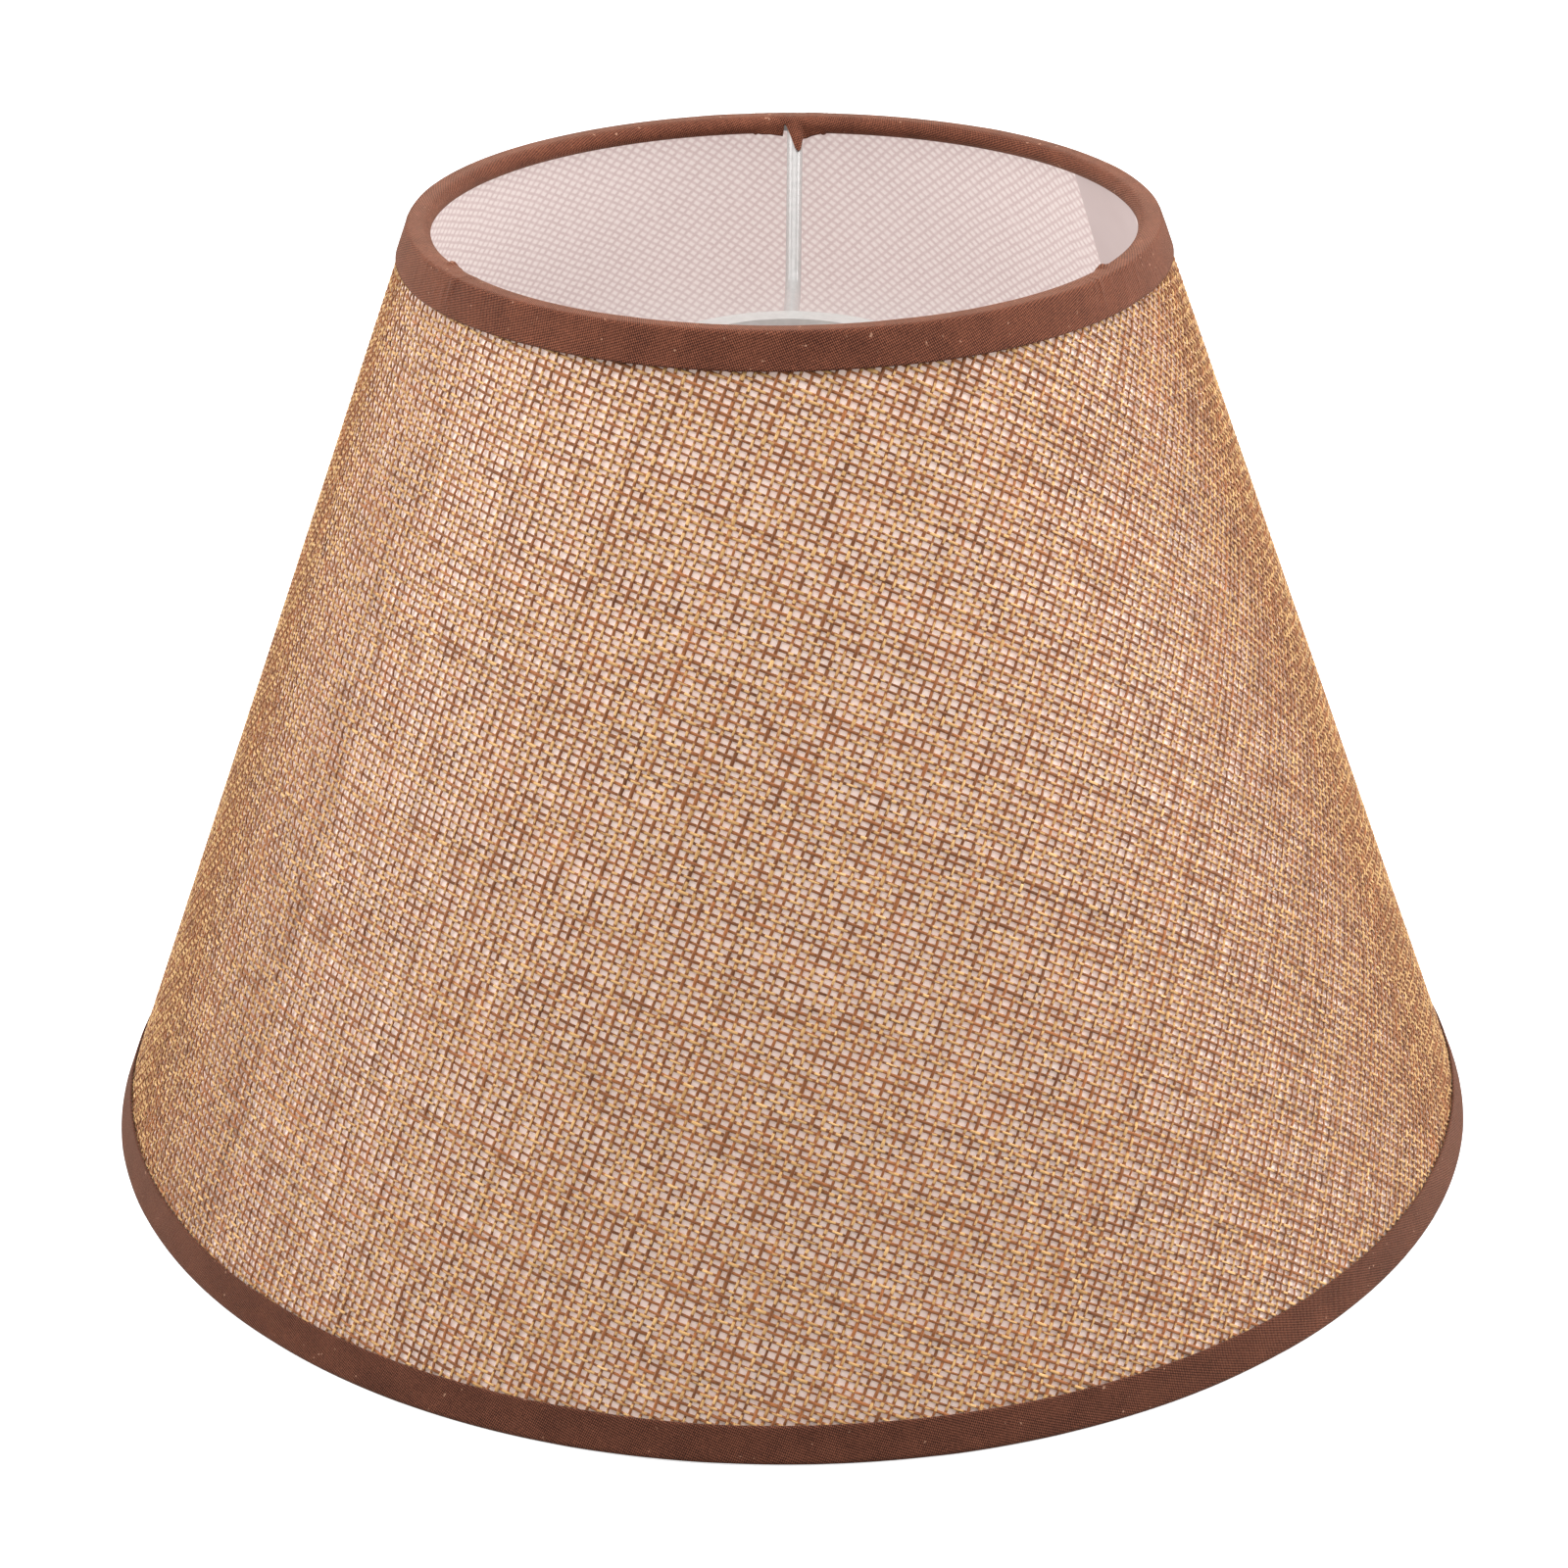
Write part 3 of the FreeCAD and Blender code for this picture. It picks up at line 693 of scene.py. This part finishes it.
def tape_material(name, lit, body, dark):
    """Cotton bias tape: fine slanting ribs, a soft nap and lint."""
    paint = Shader(name, Roughness=0.85)
    paint.set(paint.out, {"Sheen Weight": 0.32, "Sheen Roughness": 0.4})
    paint.set(paint.out, {"Sheen Tint": srgb(238, 196, 172), "Specular IOR Level": 0.12})
    run, length, _ = paint.split(paint.add("UVMap", uv_map="Tape").outputs["UV"])
    solid = paint.add("TexCoord").outputs["Object"]
    wander = paint.times(paint.noise(solid, 160.0, 2.0), 0.0006)
    slant = paint.plus(run, paint.plus(paint.times(length, 0.42), wander))
    rib = paint.math("SINE", paint.times(slant, 2 * math.pi / RIB_PITCH))
    cross = paint.minus(paint.times(length, 0.9), paint.times(run, 0.35))
    weft = paint.math("SINE", paint.times(cross, 2 * math.pi / WEFT_PITCH))
    thread = paint.plus(paint.times(rib, 0.5), paint.times(weft, 0.36))
    fuzz = paint.noise(solid, 2600.0, 3.0, 0.6)
    cloud = paint.noise(solid, 130.0, 4.0, 0.6)
    # Painted highlight and shade: the ribs' and the nap's crests, raised in the bump too, are
    # painted lighter and their hollows darker, mixed with the cloth's random cloudy tone.
    tone = paint.plus(paint.times(thread, 0.56), paint.times(fuzz, 0.75))
    tone = paint.plus(paint.minus(tone, 0.10), paint.times(cloud, 0.45))
    base = paint.ramp(tone, (0.22, srgb(*dark)), (0.5, srgb(*body)), (0.8, srgb(*lit)))
    lint = paint.smooth(paint.noise(solid, 900.0, 1.0), 0.74, 0.80)
    base = paint.mix(paint.times(lint, 0.45), base, srgb(214, 168, 140))
    paint.set(paint.out, {"Base Color": base})
    paint.bump(paint.plus(paint.times(thread, 0.6), fuzz), 0.00012, 0.7)
    return paint.material


def path_lengths(path):
    """How far along the path each of its points is."""
    return np.concatenate([[0.0], np.cumsum(np.hypot(*np.diff(path, axis=0).T))])


def resample(path, at):
    """The path's points at the given lengths along it."""
    along = path_lengths(path)
    return np.stack([np.interp(at, along, path[:, k]) for k in range(2)], axis=-1)


def arc(centre, radius, start, stop, count):
    angle = np.radians(np.linspace(start, stop, count))
    round_it = [centre[0] + radius * np.cos(angle), centre[1] + radius * np.sin(angle)]
    return np.stack(round_it, axis=-1)


def hoop_centre(node):
    """The middle of a hoop's wire, in (r, z)."""
    low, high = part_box(node)
    half = (high.z - low.z) / 2 / MM
    return (high.x / MM - half, (low.z + high.z) / 2 / MM)


def outer_radius(z):
    """Where the tape's middle is on the outside of the wall at height z."""
    return (APEX - z) * SLOPE + MID / COS


def wrap_path(hoop, upper):
    """The tape's middle line in (r, z): along the wall, over its edge and round the hoop."""
    sign = 1.0 if upper else -1.0
    corner_z = hoop[1] + sign * OVER_HOOP - sign * FOLD
    start = RIM_LOW if upper else HEM_HIGH
    outside = np.array([[outer_radius(z), z] for z in np.linspace(start, corner_z, 12)])
    corner = (outer_radius(corner_z) - FOLD, corner_z)
    fold = arc(corner, FOLD, 0.0, sign * 90.0, 8)[1:]
    round_hoop = arc(hoop, OVER_HOOP, sign * 90.0, sign * WRAP_END, WRAP_POINTS)
    return np.concatenate([outside, fold, round_hoop])


def hang_path(wrap, hoop):
    """The same line, but let go of the hoop on its inner side, so that it hangs straight."""
    inner = hoop[0] - HOOP_RADIUS - MID
    keep = wrap[: len(wrap) - WRAP_POINTS + HELD_POINTS]
    drop = np.array([[inner + 0.05 * i, hoop[1] - 0.5 * i] for i in range(1, 16)])
    return np.concatenate([keep, drop])


def drape_path(wrap, hoop, off):
    """The same line, but laid down along an arm's upper side at off millimetres from its middle."""
    lean = math.degrees(math.atan2(ARM_RUN, -ARM_RISE))
    sunk = math.sqrt(max(OVER_ARM ** 2 - off * off, 0.5))
    over = []
    for angle in np.linspace(90.0, lean, 9):
        reach = OVER_HOOP + (OVER_ARM - OVER_HOOP) * (angle - 90.0) / (lean - 90.0)
        turned = math.radians(angle)
        over.append([hoop[0] + reach * math.cos(turned), hoop[1] + reach * math.sin(turned)])
    for down in np.arange(0.4, 9.0, 0.4):
        reach = sunk + (OVER_ARM - sunk) * max(0.0, 1.0 - down / 1.6)
        r = hoop[0] - reach * ARM_RISE - ARM_RUN * down
        over.append([r, hoop[1] + reach * ARM_RUN - ARM_RISE * down])
    return np.concatenate([wrap[: len(wrap) - WRAP_POINTS], over])


# The slit's edges at an arm, seen from the axis: millimetres to the left of the arm's middle, and
# how far the tape reaches there from the crown of the hoop.
FLAP_OFF = (-6.2, -5.1, -3.3, -1.6, -1.4, -1.25, -0.8, -0.1, 1.45, 1.85, 2.05, 2.35, 4.8, 7.3, 8.2)
FLAP_REACH = (5.19, 3.9, 4.35, 5.2, 6.7, 7.3, 7.7, 6.85, 2.95, 2.2, 2.2, 4.4, 4.0, 3.9, 5.19)


def tape_turns(steps, radius, arms):
    """The azimuths at which the tape is made, finer beside the arms."""
    turns = np.linspace(0.0, 2 * math.pi, steps, endpoint=False)
    for arm in arms:
        turns = np.concatenate([turns, arm + np.linspace(-9.0, 9.0, 181) / radius])
    return np.unique(np.round(turns % (2 * math.pi), 7))


def edge_wave(count):
    """How far the edge on the wall strays, round the shade."""
    step = count // 24
    knots = np.append(rng.normal(0, 0.10, -(-count // step)), 0.0)
    at = np.arange(count)
    wave = np.interp(at, np.arange(0, count + step, step), knots)
    return wave * np.minimum(1.0, np.minimum(at, at[::-1]) / 40.0)


def blur_round(field):
    """The field blurred along its first axis, whose end meets its start."""
    count = len(field)
    kernel = np.hanning(BLUR)
    kernel /= kernel.sum()
    blurred = [np.convolve(np.tile(column, 3), kernel, "same") for column in field.T]
    return np.stack([column[count:2 * count] for column in blurred], axis=1)


def shape_flaps(turns, radius, crown, full, arms):
    """At each azimuth: where the tape ends, how loose it is, how it lies on an arm, its pucker.

    Seen from the axis, the flap on an arm's left is short, and the one on its right lies over the
    arm and comes to a point.
    """
    end = np.full(len(turns), full)
    hanging, draped, beside, pucker = np.zeros((4, len(turns)))
    for arm in arms:
        off = ((turns - arm + math.pi) % (2 * math.pi) - math.pi) * radius
        near = np.abs(off) < FLAP_NEAR
        loose = np.interp(off, [FLAP_OFF[0], *FLAP_LOOSE, FLAP_OFF[-1]], [0.0, 1.0, 1.0, 0.0])
        hanging = np.where(near, loose, hanging)
        draped = np.where(near, np.interp(np.abs(off), DRAPED, [1.0, 0.0]), draped)
        beside = np.where(near, np.clip(off, -DRAPED[1], DRAPED[1]), beside)
        tip = np.interp(off, FLAP_OFF, [crown + reach for reach in FLAP_REACH])
        tip = np.where((off < FLAP_OFF[0]) | (off > FLAP_OFF[-1]), full, tip)
        end = np.where(near, tip, end)
        if math.sin(arm) < 0.0:
            pucker += PUCKER * np.exp(-((off + 0.6) / PUCKER_WIDE) ** 2)
    return end, hanging, draped, beside, pucker


def let_hang(line, at, wrap, hoop, hanging, draped, beside):
    """Moves the tape's middle line where it hangs loose or is draped over an arm."""
    hang = hang_path(wrap, hoop)
    for j in np.nonzero(hanging)[0]:
        loose = resample(hang, at[j])
        if draped[j] > 0.0:
            over = resample(drape_path(wrap, hoop, beside[j]), at[j])
            loose = loose * (1 - draped[j]) + over * draped[j]
        line[j] = line[j] * (1 - hanging[j]) + loose * hanging[j]


def tape_section(line, past_crown, pucker, upper):
    """The tape's closed section round its middle line, in (r, z) at each azimuth."""
    count, columns = line.shape[:2]
    puff = blur_round(smooth_noise(count, columns, 8, 0.5))
    tangent = unit(np.gradient(line, axis=1))
    away = np.stack([tangent[..., 1], -tangent[..., 0]], axis=-1)
    if not upper:
        away = -away
    bulge = 0.25 * np.sin(np.linspace(0.0, 1.0, columns) * math.pi)[None, :, None]
    swell = np.clip(puff, 0.0, 0.6)[..., None] * bulge
    ridge = pucker[:, None] * np.exp(-((past_crown - PUCKER_LONG) / PUCKER_LONG) ** 2)
    ridge = ridge[..., None]
    outer = line + away * (TAPE / 2 + swell + ridge)
    inner = line - away * (TAPE / 2 - 0.02 - 0.6 * ridge)
    return np.concatenate([outer, inner[:, ::-1]], axis=1)


def make_tape(name, replaced, wire, upper, material, steps, columns, arms):
    """One folded tape all the way round, slit where the arms leave the hoop."""
    hoop = hoop_centre(wire)
    radius = hoop[0]
    wrap = wrap_path(hoop, upper)
    full = path_lengths(wrap)[-1]
    crown = path_lengths(wrap)[len(wrap) - WRAP_POINTS]
    turns = tape_turns(steps, radius, arms)
    count = len(turns)
    start = edge_wave(count)
    end, hanging, draped, beside, pucker = shape_flaps(turns, radius, crown, full, arms)
    share = np.linspace(0.0, 1.0, columns)
    at = np.clip(start[:, None] + (end - start)[:, None] * share, 0.0, None)
    line = resample(wrap, at)
    let_hang(line, at, wrap, hoop, hanging, draped, beside)
    section = tape_section(line, at - crown, pucker, upper)
    reach, height = section[..., 0], np.clip(section[..., 1], LOWEST, None)
    cos, sin = np.cos(turns)[:, None], np.sin(turns)[:, None]
    points = np.stack([reach * cos, reach * sin, height], axis=-1)
    around = section.shape[1]
    index = np.arange(count * around).reshape(count, around)
    nxt = np.roll(index, -1, axis=0)
    down = np.roll(index, -1, axis=1)
    both = np.roll(nxt, -1, axis=1)
    quads = np.stack([index, down, both, nxt] if upper else [index, nxt, both, down], axis=-1)
    length = np.concatenate([at, at[:, ::-1]], axis=1) * MM
    run = np.repeat((turns * radius * MM)[:, None], around, axis=1)
    uv = np.stack([run, length], axis=-1).reshape(-1, 2)
    piece = make_piece(name, points.reshape(-1, 3), [quads.reshape(-1, 4)], [material], uv=uv)
    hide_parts(replaced)


def make_tapes():
    # The bottom tape is a darker copy of the top tape's material: painted shade for the dimmer
    # light low down.
    upper = tape_material("bias_tape_top", (140, 84, 62), (91, 51, 38), (50, 25, 18))
    lower_shaded = tape_material("bias_tape_bottom_painted_shade", (122, 74, 55), (82, 46, 34), (46, 23, 16))
    arms = [math.radians(a) for a in (90.0, 210.0, 330.0)]
    make_tape("top_tape", "top_binding", "top_hoop_wire", True, upper, 800, 36, arms)
    make_tape("bottom_tape", "bottom_binding", "bottom_hoop_wire", False, lower_shaded, 1100, 34, [])


# ---------------------------------------------------------------- metal and glue tape

def white_coating(name, low, high):
    """Baked white coating on steel, with a faint orange peel."""
    coat = Shader(name, Roughness=0.28)
    peel = coat.noise(coat.add("TexCoord").outputs["Object"], 900.0, 2.0)
    coat.set(coat.out, {"Base Color": coat.ramp(peel, (0.3, srgb(*low)), (0.7, srgb(*high)))})
    coat.set(coat.out, {"Coat Weight": 0.4, "Coat Roughness": 0.12})
    coat.bump(peel, 0.00005, 0.25)
    return coat.material


def glue_tape():
    film = Shader("seam_tape", Roughness=0.4)
    cloudy = film.noise(film.add("TexCoord").outputs["Object"], 200.0)
    tone = film.ramp(cloudy, (0.3, srgb(226, 214, 196)), (0.7, srgb(236, 226, 210)))
    film.set(film.out, {"Base Color": tone})
    return film.material


def make_finishes():
    # One white coating in two copies: the washer's is painted lighter and the wires' darker,
    # painted light and shade for how strongly each is lit.
    repaint("fitter_washer", white_coating("white_coating", (174, 172, 169), (184, 182, 179)))
    wire = white_coating("white_wire_painted_shade", (164, 162, 160), (176, 173, 171))
    for node in (
        "rear_fitter_arm",
        "left_fitter_arm",
        "right_fitter_arm",
        "top_hoop_wire",
        "bottom_hoop_wire",
    ):
        repaint(node, wire)
    repaint("seam_tape", glue_tape())


make_camera()
make_stage()
make_lights()
make_cover()
make_backing()
make_tapes()
make_finishes()
